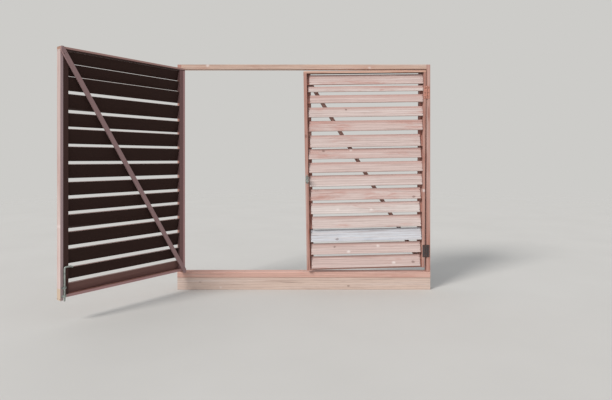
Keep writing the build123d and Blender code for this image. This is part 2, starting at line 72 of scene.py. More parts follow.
def colour(red, green, blue):
    """A linear colour from the 0 to 255 values that a picture shows."""
    def linear(value):
        share = value / 255
        return share / 12.92 if share <= 0.04045 else ((share + 0.055) / 1.055) ** 2.4

    return (linear(red), linear(green), linear(blue), 1)


@dataclass
class Finish:
    """How a timber has weathered.

    worn is its colour where the paint has gone, paint where it stays, and wear how much has gone. variety
    is how far one piece's worn colour may lie from the next one's, towards the paint.
    """

    worn: tuple
    paint: tuple
    wear: float
    variety: float = 0.34


@dataclass
class Noise:
    """A noise pattern: its scale in each direction, in 1/m, its detail, and how rough and bent it is."""

    scale: tuple
    detail: float
    roughness: float = 0.55
    distortion: float = 0


@dataclass
class Layer:
    """How a pattern shows: the values at which it begins and is full, and how strong it is there."""

    begins: float
    full: float
    strength: float


@dataclass
class Lining:
    """Faces that the weather hasn't bleached, some of them in painted shade or painted light: the way they
    look, and their colour.

    threshold is how nearly a face has to look that way, as a cosine. Where dark_past gives a direction
    and a distance, they are darker past that distance: a painted shade.
    """

    facing: Vector
    colour: tuple
    threshold: float = 0.6
    dark_past: tuple = None


@dataclass
class Head:
    """The head of a nail or a screw."""

    radius: float
    height: float
    slotted: bool = False


# Finishes of the timber
RED_WORN = colour(196, 154, 141)
RED_PAINT = colour(172, 118, 104)
RIM_FINISH = Finish(RED_WORN, RED_PAINT, wear=0.35)
JAMB_FINISH = Finish(RED_WORN, RED_PAINT, wear=0.7)
FREE_STILE_FINISHES = {
    "left": Finish(colour(206, 186, 180), colour(196, 160, 152), wear=0.5),
    "right": Finish(RED_WORN, RED_PAINT, wear=0.5),
}
RAIL_FINISH = Finish(colour(223, 184, 164), colour(206, 156, 135), wear=0.35)
HEADER_FINISH = Finish(colour(211, 182, 165), colour(197, 156, 139), wear=0.6)
THRESHOLD_FINISH = Finish(colour(218, 180, 166), colour(204, 156, 142), wear=0.4)
SILL_FINISH = Finish(colour(217, 197, 184), colour(198, 166, 152), wear=0.8)
LOUVRE_FINISH = Finish(colour(220, 210, 205), colour(198, 156, 146), wear=0.75, variety=0.52)
GREY_FINISH = Finish(colour(212, 214, 219), colour(188, 195, 204), wear=0.75)

# Colours in the wood
BLEACHED = colour(232, 222, 218)
DARK_GRAIN = colour(122, 88, 80)
KNOT = colour(98, 66, 56)
END_GRAIN = colour(104, 72, 58)
BARE_WOOD = colour(198, 177, 156)

# Colours of the faces that the weather hasn't bleached, some of them painted shade or painted light
# Dark unfaded paint on the louvres' inner faces, darkened further as painted shade on faces that look down
# and inward
UNFADED_PAINT_AND_SHADE = colour(47, 28, 23)
# Painted shade, on the cleats past a leaf's middle and under its top rail
PAINTED_SHADE_LINING = colour(72, 49, 45)
# The cleats' inner and side faces, darker than the stiles' as painted shade in their recess beside the
# louvres' ends
CLEAT_SHADED_LINING = colour(138, 104, 102)
STILE_LINING = colour(196, 152, 150)
FREE_STILE_LINING = colour(196, 170, 171)
BRACE_LINING = colour(172, 140, 139)
RAIL_LINING = colour(194, 154, 146)
# The left leaf's lowest louvre's inner face: painted light, with less of the louvres' painted shade
LAST_LOUVRE_LIT_LINING = colour(128, 94, 88)

# Patterns of the timber: how far they may be shifted from one piece to the next, in metres, and their
# scales along the grain, through the board and across it
PATTERN_SHIFT = 20
STREAKS = Noise((1.5, 110, 110), 7, 0.62)
FIBRES = Noise((9, 620, 620), 3, 0.5)
BLEACHING = Noise((0.8, 48, 48), 4, 0.5)
PATCHES = Noise((2.2, 16, 16), 6, 0.66, 0.4)
DRIFT = Noise((0.9, 3, 3), 2)
CRACKS = Noise((1.6, 75, 75), 3, 0.4)
FIGURE_STRETCH = (0.09, 1, 1)
FIGURE = {"Scale": 11, "Distortion": 4.5, "Detail": 2, "Detail Scale": 0.9}

# How the patterns show in the colour
BLEACHED_LAYER = Layer(0.52, 0.72, 0.5)
STREAK_LAYER = Layer(0.44, 0.72, 0.38)
FIGURE_LAYER = Layer(0.55, 1.0, 0.14)
FIBRE_LAYER = Layer(0.50, 0.74, 0.30)
CRACK_LAYER = Layer(0.70, 0.76, 0.55)
BARE_STREAK_LAYER = Layer(0.45, 0.75, 0.35)

# Where the paint stays: the patches' values where it has all gone and is whole, and what shifts them
PAINT_GONE = 0.90
PAINT_WHOLE = 0.66
DRIFT_STRENGTH = 0.35
WEAR_STRENGTH = 0.35
TONE_SPREAD = 0.10

# Knots and pale glints, the glints painted highlights: the places for them a metre each way, how the places
# bend, which places by lot have one, the distances from a place's middle at which it begins and is full, and
# its strength
KNOT_PLACES = (5, 0.01, 7.5)
KNOT_BEND_SCALE = 30
KNOT_BEND_DETAIL = 2
KNOT_BEND = (0.10, 0, 0.14)
KNOT_ABOVE = 0.68
KNOT_EDGE = (0.13, 0.075)
KNOT_STRENGTH = 0.35
KNOT_RING = 0.016
KNOT_RING_EDGE = (0.004, 0.012)
KNOT_RING_STRENGTH = 0.30
GLINT_BELOW = 0.30
GLINT_EDGE = (0.17, 0.04)
GLINT_STRENGTH = 0.75

# The head of a louvre, which the louvre above it shelters
SHELTERED_HEIGHT = 52 * MM
SHELTERED_RAGGEDNESS = 45 * MM
SHELTERED_STRENGTH = 0.75

# The foot of the left free stile, which was never painted
BARE_STILE_END = 113 * MM
BARE_EDGE = (14 * MM, 8 * MM)
BARE_RAGGEDNESS = 20 * MM

# Linings and end grain: thresholds that take in the faces beside or below, edges and strengths
WITH_SIDES = -0.4
WITH_UNDERSIDE = 0.5
LINING_EDGE = 0.15
LINING_STREAKS = 0.4
# How far up from the top rail's foot the painted shade under it reaches
RAIL_SHADE_EDGE = 8 * MM
END_FACING = (0.80, 0.95)
END_STRENGTH = 0.2
END_STREAKS = 0.6

# Surface of the timber
WOOD_ROUGHNESS = 0.72
ROUGHER_STREAKS = 0.22
WOOD_SPECULAR = 0.25
STREAK_RELIEF = 0.8
FIGURE_RELIEF = 0.35
CRACK_RELIEF = -0.9
FIBRE_RELIEF = -0.4
RELIEF_STRENGTH = 0.45
RELIEF_HEIGHT = 1.2 * MM

# Edges of the CAD pieces
TIMBER_ROUNDING = 1.6 * MM
METAL_ROUNDING = 0.4 * MM
ROUNDING_SEGMENTS = 2
ROUNDED_FROM_ANGLE = 35
WELD_DISTANCE = 0.02 * MM


class Graph:
    """A material's node tree, with short calls for the nodes used here."""

    def __init__(self, name):
        self.material = bpy.data.materials.new(name)
        self.material.use_nodes = True
        self.tree = self.material.node_tree
        self.shader = self.tree.nodes["Principled BSDF"]

    def node(self, kind, inputs=None, **settings):
        made = self.tree.nodes.new(kind)
        for key, value in settings.items():
            setattr(made, key, value)
        for key, value in (inputs or {}).items():
            self.feed(made.inputs[key], value)
        return made

    def feed(self, socket, value):
        if isinstance(value, bpy.types.NodeSocket):
            self.tree.links.new(value, socket)
        else:
            socket.default_value = value

    def shade(self, inputs):
        """Feed the shader's sockets by name."""
        for key, value in inputs.items():
            self.feed(self.shader.inputs[key], value)

    def math(self, operation, *values):
        made = self.node("ShaderNodeMath", dict(enumerate(values)), operation=operation)
        return made.outputs[0]

    def line(self, value, slope, start):
        """A value times a slope, plus a start."""
        return self.math("MULTIPLY_ADD", value, slope, start)

    def scaled(self, vector, scale):
        made = self.node("ShaderNodeVectorMath", {0: vector, 1: scale}, operation="MULTIPLY")
        return made.outputs[0]

    def dot(self, vector, direction):
        made = self.node("ShaderNodeVectorMath", {0: vector, 1: direction}, operation="DOT_PRODUCT")
        return made.outputs["Value"]

    def noise(self, vector, noise):
        inputs = {"Vector": self.scaled(vector, noise.scale), "Scale": 1, "Detail": noise.detail}
        inputs.update({"Roughness": noise.roughness, "Distortion": noise.distortion})
        return self.node("ShaderNodeTexNoise", inputs).outputs["Fac"]

    def lot(self, cells):
        """A number from 0 to 1 for each cell of a pattern, from its colour."""
        return self.node("ShaderNodeSeparateColor", {0: cells}).outputs[0]

    def step(self, value, low, high):
        """0 below low, 1 above high and smooth between, or the other way round."""
        inputs = {"Value": value, "From Min": low, "From Max": high}
        made = self.node("ShaderNodeMapRange", inputs, interpolation_type="SMOOTHSTEP")
        return made.outputs[0]

    def mix(self, share, first, second):
        """Mix two colours. The node's sockets 6 and 7 and its output 2 are the ones for colours."""
        made = self.node("ShaderNodeMix", {0: share, 6: first, 7: second}, data_type="RGBA")
        return made.outputs[2]

    def lay(self, skin, tint, share, strength):
        """Lay a colour over a skin by a share, as strongly as said where the share is 1."""
        return self.mix(self.math("MULTIPLY", share, strength), skin, tint)

    def show(self, skin, tint, pattern, layer, amount=1):
        """Lay a colour over a skin where a pattern is high."""
        share = self.step(pattern, layer.begins, layer.full)
        return self.lay(skin, tint, share, layer.strength * amount)

    def bump(self, height, strength, distance):
        inputs = {"Height": height, "Strength": strength, "Distance": distance}
        return self.node("ShaderNodeBump", inputs).outputs[0]


# Leaf directions, read from the joints

def joint_named(name):
    return next(joint for joint in frame["joints"] if joint["name"] == name)


def leaf_directions():
    """For each leaf, the way along it from the hinge, the way out of its outer face, and up it.

    The right leaf has sagged, so the way up it is that of the hasp's pin, which leans with it.
    """
    leaning = Vector(joint_named("hasp_hinge")["axis"])
    directions = {}
    for side, turn, upright in (("left", -1, UP), ("right", 1, leaning)):
        opened = -radians(joint_named(f"{side}_leaf_hinge")["range_deg"][0])
        out = Matrix.Rotation(turn * opened, 3, "Z") @ OUTWARD
        along = out.cross(upright) * turn
        directions[side] = (along.normalized(), out, upright.normalized())
    return directions


LEAVES = leaf_directions()


def extent(node, direction):
    """Where a node begins and ends along a direction."""
    lengths = [vertex.co.dot(direction) for vertex in frame["nodes"][node].data.vertices]
    return min(lengths), max(lengths)


# Timber

def knots(graph, board):
    """How strong the knots, with their rings, and the pale glints, painted highlights, are at each place of a
    board.
    """
    bend = graph.node("ShaderNodeTexNoise", {"Vector": board, "Scale": KNOT_BEND_SCALE,
                                             "Detail": KNOT_BEND_DETAIL}).outputs["Color"]
    places = graph.node("ShaderNodeVectorMath", {0: bend, 1: KNOT_BEND, 2: graph.scaled(board, KNOT_PLACES)},
                        operation="MULTIPLY_ADD").outputs[0]
    cell = graph.node("ShaderNodeTexVoronoi", {"Vector": places, "Scale": 1}).outputs
    lot = graph.lot(cell["Color"])
    knotted = graph.math("GREATER_THAN", lot, KNOT_ABOVE)
    glossy = graph.math("LESS_THAN", lot, GLINT_BELOW)
    knot = graph.math("MULTIPLY", graph.step(cell["Distance"], *KNOT_EDGE), knotted)
    glint = graph.math("MULTIPLY", graph.step(cell["Distance"], *GLINT_EDGE), glossy)
    rings = graph.step(graph.math("PINGPONG", cell["Distance"], KNOT_RING), *KNOT_RING_EDGE)
    knot = graph.math("MULTIPLY", knot, graph.line(rings, KNOT_RING_STRENGTH, KNOT_STRENGTH))
    return knot, glint


def shelter(graph, place, patches, way, head):
    """How well the louvre above shelters each place of one. way is up the louvre, and head its top."""
    top = head + SHELTERED_RAGGEDNESS / 2
    height = graph.line(patches, SHELTERED_RAGGEDNESS, graph.dot(place["Object"], way))
    return graph.step(height, top - SHELTERED_HEIGHT, top)


def lined(graph, place, skin, streaks, lining):
    """The skin with the faces of a lining in their own colour, and a painted shade past dark_past."""
    shaded = lining.colour
    # Painted shade: darker faces past a distance along a way
    if lining.dark_past:
        way, distance = lining.dark_past
        dark = graph.math("GREATER_THAN", graph.dot(place["Object"], way), distance)
        shaded = graph.mix(dark, shaded, PAINTED_SHADE_LINING)
    # Streaks of the dark unfaded paint, partly painted shade, over every lining
    shaded = graph.lay(shaded, UNFADED_PAINT_AND_SHADE, streaks, LINING_STREAKS)
    facing = graph.dot(place["Normal"], lining.facing)
    shown = graph.step(facing, lining.threshold - LINING_EDGE, lining.threshold + LINING_EDGE)
    return graph.mix(shown, skin, shaded)


def timber(name, grain, through, finish, lining=None, bare_below=None, sheltered=None):
    """Weathered timber whose grain runs along one direction. through is the way through its boards.

    Below the height bare_below the wood was never painted. sheltered is the way up a louvre and the
    place of its head that way: there the louvre above it has kept the rain off the paint.
    """
    chance = random.Random(name)
    offset = [chance.uniform(-PATTERN_SHIFT, PATTERN_SHIFT) for _ in range(3)]
    tone = chance.uniform(-TONE_SPREAD, TONE_SPREAD)
    faded = chance.uniform(0, finish.variety)

    graph = Graph(name)
    place = graph.node("ShaderNodeTexCoord").outputs
    across = grain.cross(through).normalized()
    turn = Matrix((grain, through, across)).to_euler("XYZ")
    board = graph.node("ShaderNodeMapping", {"Vector": place["Object"], "Location": offset,
                                             "Rotation": turn}).outputs[0]
    streaks = graph.noise(board, STREAKS)
    fibres = graph.noise(board, FIBRES)
    patches = graph.noise(board, PATCHES)
    cracks = graph.step(graph.noise(board, CRACKS), CRACK_LAYER.begins, CRACK_LAYER.full)
    figure = graph.node("ShaderNodeTexWave", {"Vector": graph.scaled(board, FIGURE_STRETCH), **FIGURE},
                        bands_direction="Z").outputs["Fac"]
    knot, glint = knots(graph, board)

    # Paint that stays in patches on worn wood
    shift = tone - WEAR_STRENGTH * finish.wear
    level = graph.line(graph.noise(board, DRIFT), DRIFT_STRENGTH, patches)
    kept = graph.step(level, PAINT_GONE + shift, PAINT_WHOLE + shift)
    worn = graph.mix(faded, finish.worn, finish.paint)
    skin = graph.mix(kept, worn, finish.paint)
    if sheltered:
        skin = graph.lay(skin, finish.paint, shelter(graph, place, patches, *sheltered), SHELTERED_STRENGTH)

    # Bleached streaks, grain, knots and cracks
    skin = graph.show(skin, BLEACHED, graph.noise(board, BLEACHING), BLEACHED_LAYER, finish.wear)
    skin = graph.show(skin, DARK_GRAIN, streaks, STREAK_LAYER)
    skin = graph.show(skin, DARK_GRAIN, figure, FIGURE_LAYER)
    skin = graph.show(skin, DARK_GRAIN, fibres, FIBRE_LAYER)
    # Pale glints: painted highlights near the knots, in the bleached colour
    skin = graph.lay(skin, BLEACHED, glint, GLINT_STRENGTH)
    skin = graph.mix(knot, skin, KNOT)
    skin = graph.lay(skin, KNOT, cracks, CRACK_LAYER.strength)

    # Faces and ends that differ from the rest
    if bare_below is not None:
        height = graph.line(patches, BARE_RAGGEDNESS, graph.dot(place["Object"], UP))
        bare = graph.show(BARE_WOOD, DARK_GRAIN, streaks, BARE_STREAK_LAYER)
        unpainted = graph.step(height, *(bare_below + edge for edge in BARE_EDGE))
        skin = graph.mix(unpainted, skin, bare)
    if lining:
        skin = lined(graph, place, skin, streaks, lining)
    ends = graph.step(graph.math("ABSOLUTE", graph.dot(place["Normal"], grain)), *END_FACING)
    ends = graph.math("MULTIPLY", ends, graph.line(streaks, END_STREAKS, END_STRENGTH))
    skin = graph.mix(ends, skin, END_GRAIN)

    relief = 0
    for pattern, height in ((streaks, STREAK_RELIEF), (figure, FIGURE_RELIEF), (cracks, CRACK_RELIEF),
                            (fibres, FIBRE_RELIEF)):
        relief = graph.line(pattern, height, relief)
    graph.shade({
        "Base Color": skin,
        "Roughness": graph.line(streaks, ROUGHER_STREAKS, WOOD_ROUGHNESS),
        "Specular IOR Level": WOOD_SPECULAR,
        "Normal": graph.bump(relief, RELIEF_STRENGTH, RELIEF_HEIGHT),
    })
    return graph.material


# Metals

RUST = colour(112, 66, 44)

# Galvanised steel
ZINC = colour(186, 192, 186)
ZINC_DARK = colour(134, 142, 140)
SPANGLE_SCALE = 260
SPANGLE_STRENGTH = 0.35
CLOUDS = Noise((38, 38, 38), 5)
CLOUD_LAYER = Layer(0.42, 0.70, 1)
SPECKS = Noise((90, 90, 90), 6, 0.7)
SPECK_LAYER = Layer(0.60, 0.70, 0.7)
ZINC_METALLIC = 0.85
SPECK_METALLIC = -0.7
ZINC_ROUGHNESS = 0.42
ROUGHER_CLOUDS = 0.25
ZINC_BUMP = (0.25, 0.5 * MM)

# Painted hinges
HINGE_RED = colour(194, 136, 118)
HINGE_DARK = colour(70, 60, 60)
HINGE_PAINT_EDGE = 10 * MM
CHIPS = Noise((60, 60, 60), 7, 0.7)
CHIP_LAYER = Layer(0.56, 0.62, 0.8)
CHIP_METALLIC = 0.4
PAINT_ROUGHNESS = 0.45
ROUGHER_CHIPS = 0.3
CHIP_BUMP = (0.4, 0.4 * MM)

# Nail heads
NAIL_GREY = colour(120, 104, 98)
NAIL_RUST = Noise((35, 35, 35), 5, 0.7)
NAIL_RUST_LAYER = Layer(0.42, 0.6, 1)
NAIL_METALLIC = 0.5
NAIL_ROUGHNESS = 0.6


def zinc(name):
    """Dull galvanised steel with a faint spangle and specks of rust."""
    graph = Graph(name)
    place = graph.node("ShaderNodeTexCoord").outputs["Object"]
    cells = graph.node("ShaderNodeTexVoronoi", {"Vector": place, "Scale": SPANGLE_SCALE}).outputs["Color"]
    clouds = graph.noise(place, CLOUDS)
    rusty = graph.step(graph.noise(place, SPECKS), SPECK_LAYER.begins, SPECK_LAYER.full)
    skin = graph.lay(ZINC, ZINC_DARK, graph.lot(cells), SPANGLE_STRENGTH)
    skin = graph.show(skin, ZINC_DARK, clouds, CLOUD_LAYER)
    skin = graph.lay(skin, RUST, rusty, SPECK_LAYER.strength)
    graph.shade({
        "Base Color": skin,
        "Metallic": graph.line(rusty, SPECK_METALLIC, ZINC_METALLIC),
        "Roughness": graph.line(clouds, ROUGHER_CLOUDS, ZINC_ROUGHNESS),
        "Normal": graph.bump(clouds, *ZINC_BUMP),
    })
    return graph.material


def hinge_iron(name, above):
    """Painted iron, chipped to rust: red like the door above a height, and dark below it."""
    graph = Graph(name)
    place = graph.node("ShaderNodeTexCoord").outputs["Object"]
    reddened = graph.step(graph.dot(place, UP), above - HINGE_PAINT_EDGE, above + HINGE_PAINT_EDGE)
    chips = graph.step(graph.noise(place, CHIPS), CHIP_LAYER.begins, CHIP_LAYER.full)
    graph.shade({
        "Base Color": graph.lay(graph.mix(reddened, HINGE_DARK, HINGE_RED), RUST, chips, CHIP_LAYER.strength),
        "Metallic": graph.math("MULTIPLY", chips, CHIP_METALLIC),
        "Roughness": graph.line(chips, ROUGHER_CHIPS, PAINT_ROUGHNESS),
        "Normal": graph.bump(graph.math("SUBTRACT", 1, chips), *CHIP_BUMP),
    })
    return graph.material


def nail_metal(name):
    """Weathered nail heads, grey with rust."""
    graph = Graph(name)
    place = graph.node("ShaderNodeTexCoord").outputs["Object"]
    graph.shade({
        "Base Color": graph.show(NAIL_GREY, RUST, graph.noise(place, NAIL_RUST), NAIL_RUST_LAYER),
        "Metallic": NAIL_METALLIC,
        "Roughness": NAIL_ROUGHNESS,
    })
    return graph.material


# Dressing the CAD pieces

def dress(node, material, rounding):
    """Give a CAD piece its material and slightly rounded edges."""
    piece = frame["nodes"][node]
    piece.data.materials.clear()
    piece.data.materials.append(material)
    piece.modifiers.new("weld", "WELD").merge_threshold = WELD_DISTANCE
    bevel = piece.modifiers.new("bevel", "BEVEL")
    bevel.width = rounding
    bevel.segments = ROUNDING_SEGMENTS
    bevel.limit_method = "ANGLE"
    bevel.angle_limit = radians(ROUNDED_FROM_ANGLE)
    bevel.harden_normals = True


def dress_timber(node, *looks, **extras):
    """Dress a CAD timber with the looks that timber() takes after its name."""
    dress(node, timber(node, *looks, **extras), TIMBER_ROUNDING)


def brace_direction(node):
    """The way a brace runs, from its lowest to its highest end."""
    corners = sorted((vertex.co for vertex in frame["nodes"][node].data.vertices), key=lambda co: co.z)
    half = len(corners) // 2
    low = sum(corners[:half], Vector()) / half
    high = sum(corners[half:], Vector()) / (len(corners) - half)
    return (high - low).normalized()


def dress_leaf(side):
    """Dress a leaf's louvres and the timber round them."""
    along, out, upright = LEAVES[side]
    inward = -out
    for number in range(1, LOUVRES + 1):
        node = f"{side}_slat_{number:02d}"
        # Inner faces of the louvres: dark unfaded paint darkened as painted shade; the left leaf's lowest one
        # lighter, as painted light
        lining = Lining(inward, LAST_LOUVRE_LIT_LINING if node == LAST_LEFT_LOUVRE else UNFADED_PAINT_AND_SHADE)
        if node == GREY_LOUVRE:
            dress_timber(node, along, out, GREY_FINISH, lining)
        else:
            head = extent(node, upright)[1]
            dress_timber(node, along, out, LOUVRE_FINISH, lining, sheltered=(upright, head))

    node = f"{side}_free_stile"
    bare_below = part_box(node)[0].z + BARE_STILE_END if side == "left" else None
    dress_timber(node, upright, out, FREE_STILE_FINISHES[side], Lining(inward, FREE_STILE_LINING), bare_below)

    # Painted shade: the cleats past the leaf's middle and the top rail's underside take the darkest lining
    middle = sum(extent(f"{side}_top_rail", along)) / 2
    rail_foot = extent(f"{side}_top_rail", upright)[0]
    shade_under_rail = (-upright, -rail_foot - RAIL_SHADE_EDGE)
    in_and_down = (inward - upright).normalized()
    rims = {
        "hinge_stile": (upright, RIM_FINISH, Lining(inward, STILE_LINING)),
        # The cleats' lining: painted shade in their recess, darkest past the leaf's middle
        "cleats": (upright, RIM_FINISH, Lining(inward, CLEAT_SHADED_LINING, WITH_SIDES, (along, middle))),
        "top_rail": (along, RAIL_FINISH, Lining(in_and_down, RAIL_LINING, WITH_UNDERSIDE, shade_under_rail)),
        "bottom_rail": (along, RIM_FINISH, Lining(inward, STILE_LINING)),
        "brace": (brace_direction(f"{side}_brace"), RIM_FINISH, Lining(inward, BRACE_LINING, WITH_SIDES)),
    }
    for part, (grain, finish, lining) in rims.items():
        dress_timber(f"{side}_{part}", grain, out, finish, lining)


def dress_frame():
    for side in SIDES:
        dress_timber(f"{side}_jamb", UP, OUTWARD, JAMB_FINISH)
    dress_timber("header", ALONG_X, OUTWARD, HEADER_FINISH)
    dress_timber("threshold", ALONG_X, OUTWARD, THRESHOLD_FINISH)
    dress_timber("sill_beam", ALONG_X, OUTWARD, SILL_FINISH)


def dress_metal():
    """Dress the ironwork. Of the hinges only the upper one of the right leaf is red."""
    middle = sum(extent("right_jamb", UP)) / 2
    top = cad_box[1][2]
    for side, above in (("left", top), ("right", middle)):
        iron = hinge_iron(f"{side}_hinge_iron", above)
        for part in ("frame_hinge_plates", "leaf_hinge_plates", "hinge_pins"):
            dress(f"{side}_{part}", iron, METAL_ROUNDING)
    coated = zinc("galvanised_steel")
    for node in ("cane_bolt", "bolt_guides", "staple", "hasp_base", "hasp_pin", "hasp_strap"):
        dress(node, coated, METAL_ROUNDING)


# Nails and screws

NAIL = Head(4.2 * MM, 1.0 * MM)
SCREW = Head(4.8 * MM, 1.2 * MM, slotted=True)
SMALL_SCREW = Head(2.6 * MM, 1.2 * MM, slotted=True)
FLUSH_SCREW = Head(2.6 * MM, 0.35 * MM, slotted=True)
HEAD_SIDES = 16
# Rings of a head, as shares of its radius and its height
HEAD_RINGS = ((1.0, 0.0), (1.0, 0.35), (0.82, 0.78), (0.45, 1.0))
SLOT_DEPTH = 0.55
SLOT_SHARPNESS = 6

# Places of the nails and screws
SLAT_NAIL_FROM_END = 8 * MM
SLAT_NAIL_EDGE_SHARE = 0.22
HINGE_SCREWS = 3
HINGE_SCREW_FROM_EDGE = 22 * MM
LATCH_SCREWS = 2
HASP_SCREW_FROM_EDGE = 11 * MM
STAPLE_SCREW_FROM_EDGE = 4.5 * MM
BRACE_NAIL_FROM_END = 75 * MM
BRACE_NAIL_SPREAD = 12 * MM
STILE_NAIL_FROM_END = 13 * MM
STILE_NAIL_SPREAD = 26 * MM
TREAD_NAIL_FROM_END = 90 * MM
TREAD_NAIL_SPREAD = 22 * MM
TREAD_NAIL_PAIRS = 5

# Parts of one node that lie further apart than this count by themselves
PLATE_SPACING = 400 * MM
GUIDE_SPACING = 40 * MM
FOOT_SPACING = 15 * MM

# How a flat face is found: the face that looks most nearly one way, to these digits, and the larger of
# two that look alike, with every face of its node that lies in its plane
FACING_DIGITS = 3
AREA_WEIGHT = 0.001
SAME_FACING = 0.999
SAME_PLANE = 0.1 * MM

# The feet of the bolt's guides: how nearly their faces look one way, and how nearly they lie in one plane
FOOT_FACING = 0.99
FOOT_PLANE = 0.2 * MM


def face_corners(node, facing):
    """The corners of the flat face of a node that looks most nearly one way, and its normal."""
    mesh = frame["nodes"][node].data
    best = max(mesh.polygons,
               key=lambda face: round(face.normal.dot(facing), FACING_DIGITS) + face.area * AREA_WEIGHT)
    normal = best.normal.copy()
    corners = []
    for face in mesh.polygons:
        apart_from_best = abs((face.center - best.center).dot(normal))
        if face.normal.dot(normal) > SAME_FACING and apart_from_best < SAME_PLANE:
            corners += [mesh.vertices[index].co.copy() for index in face.vertices]
    return corners, normal


def head_mesh(build, place, normal, head):
    """Add one head at a place: a rim and a shallow dome, with a slot across it on a screw."""
    turn = normal.to_track_quat("Z", "Y").to_matrix()
    rows = []
    for share, lift in HEAD_RINGS:
        row = []
        for side in range(HEAD_SIDES):
            angle = 2 * pi * side / HEAD_SIDES
            dip = 0
            if head.slotted and (share, lift) == HEAD_RINGS[-1]:
                dip = SLOT_DEPTH * max(0, cos(2 * angle)) ** SLOT_SHARPNESS
            reach = share * head.radius
            spot = Vector((cos(angle) * reach, sin(angle) * reach, (lift - dip) * head.height))
            row.append(build.verts.new(place + turn @ spot))
        rows.append(row)
    for lower, upper in zip(rows, rows[1:]):
        for side in range(HEAD_SIDES):
            after = (side + 1) % HEAD_SIDES
            build.faces.new((lower[side], lower[after], upper[after], upper[side]))
    build.faces.new(rows[-1])


def heads(name, places, head, body, metal):
    """One piece with a nail or screw head at each place, riding on a body. metal is a slot and a material;
    the slot is not used.
    """
    build = bmesh.new()
    for place, normal in places:
        head_mesh(build, place, normal.normalized(), head)
    mesh = bpy.data.meshes.new(name)
    build.to_mesh(mesh)
    build.free()
    for face in mesh.polygons:
        face.use_smooth = True
    slot, material = metal
    mesh.materials.append(material)
    piece = bpy.data.objects.new(name, mesh)
    bpy.context.collection.objects.link(piece)
    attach(piece, body)


def slat_nails(side):
    """Two nails through each end of each louvre into the cleats."""
    along, out, _ = LEAVES[side]
    places = []
    for number in range(1, LOUVRES + 1):
        corners, normal = face_corners(f"{side}_slat_{number:02d}", out)
        slope = normal.cross(along).normalized()
        lengths = [corner.dot(along) for corner in corners]
        heights = [corner.dot(slope) for corner in corners]
        depth = corners[0].dot(normal)
        rise = (max(heights) - min(heights)) * SLAT_NAIL_EDGE_SHARE
        for length in (min(lengths) + SLAT_NAIL_FROM_END, max(lengths) - SLAT_NAIL_FROM_END):
            for height in (min(heights) + rise, max(heights) - rise):
                places.append((along * length + slope * height + normal * depth, normal))
    return places


def apart(points, direction, spacing):
    """Points sorted into groups that lie further apart than a spacing along one direction."""
    groups = []
    for point in sorted(points, key=lambda point: point.dot(direction)):
        if groups and (point - groups[-1][-1]).dot(direction) < spacing:
            groups[-1].append(point)
        else:
            groups.append([point])
    return groups


def middle_of(points, direction):
    """The middle of the points' box, moved along a direction to halfway between the outermost points."""
    low = Vector(min(point[axis] for point in points) for axis in range(3))
    high = Vector(max(point[axis] for point in points) for axis in range(3))
    middle = (low + high) / 2
    lengths = [point.dot(direction) for point in points]
    return middle + direction * ((max(lengths) + min(lengths)) / 2 - middle.dot(direction))


def column(points, direction, count, from_end):
    """Places spaced evenly along one direction down the middle of some points."""
    middle = middle_of(points, direction)
    lengths = [point.dot(direction) for point in points]
    reach = max(lengths) - min(lengths) - 2 * from_end
    return [middle + direction * reach * (index / (count - 1) - 0.5) for index in range(count)]


def pairs(places, direction, spread):
    """Two places for each one, either side of it."""
    return [place + direction * way * spread for place in places for way in (-1, 1)]


def plate_screws(node, facing, upright, count, from_edge):
    """Screws spaced up each plate of a node, on the face that looks one way."""
    corners, normal = face_corners(node, facing)
    places = []
    for plate in apart(corners, UP, PLATE_SPACING):
        places += [(spot, normal) for spot in column(plate, upright, count, from_edge)]
    return places


def guide_screws(facing, along):
    """A screw in the middle of each foot of the bolt's guides."""
    mesh = frame["nodes"]["bolt_guides"].data
    faces = [face for face in mesh.polygons if face.normal.dot(facing) > FOOT_FACING]
    lowest = min(face.center.dot(facing) for face in faces)
    corners = [mesh.vertices[index].co.copy() for face in faces for index in face.vertices
               if face.center.dot(facing) < lowest + FOOT_PLANE]
    places = []
    for guide in apart(corners, UP, GUIDE_SPACING):
        for foot in apart(guide, along, FOOT_SPACING):
            places.append((middle_of(foot, along), facing))
    return places


def brace_nails(side):
    """Two nails near each end of a brace."""
    out = LEAVES[side][1]
    node = f"{side}_brace"
    corners, normal = face_corners(node, -out)
    direction = brace_direction(node)
    ends = column(corners, direction, 2, BRACE_NAIL_FROM_END)
    return [(spot, normal) for spot in pairs(ends, normal.cross(direction), BRACE_NAIL_SPREAD)]


def stile_nails(side):
    """Two nails through a free stile into each rail."""
    along, out, upright = LEAVES[side]
    corners, normal = face_corners(f"{side}_free_stile", along)
    ends = column(corners, upright, 2, STILE_NAIL_FROM_END)
    return [(spot, normal) for spot in pairs(ends, out, STILE_NAIL_SPREAD)]


def tread_nails():
    """Pairs of nails along the threshold."""
    corners, normal = face_corners("threshold", UP)
    spots = column(corners, ALONG_X, TREAD_NAIL_PAIRS, TREAD_NAIL_FROM_END)
    return [(spot, normal) for spot in pairs(spots, OUTWARD, TREAD_NAIL_SPREAD)]


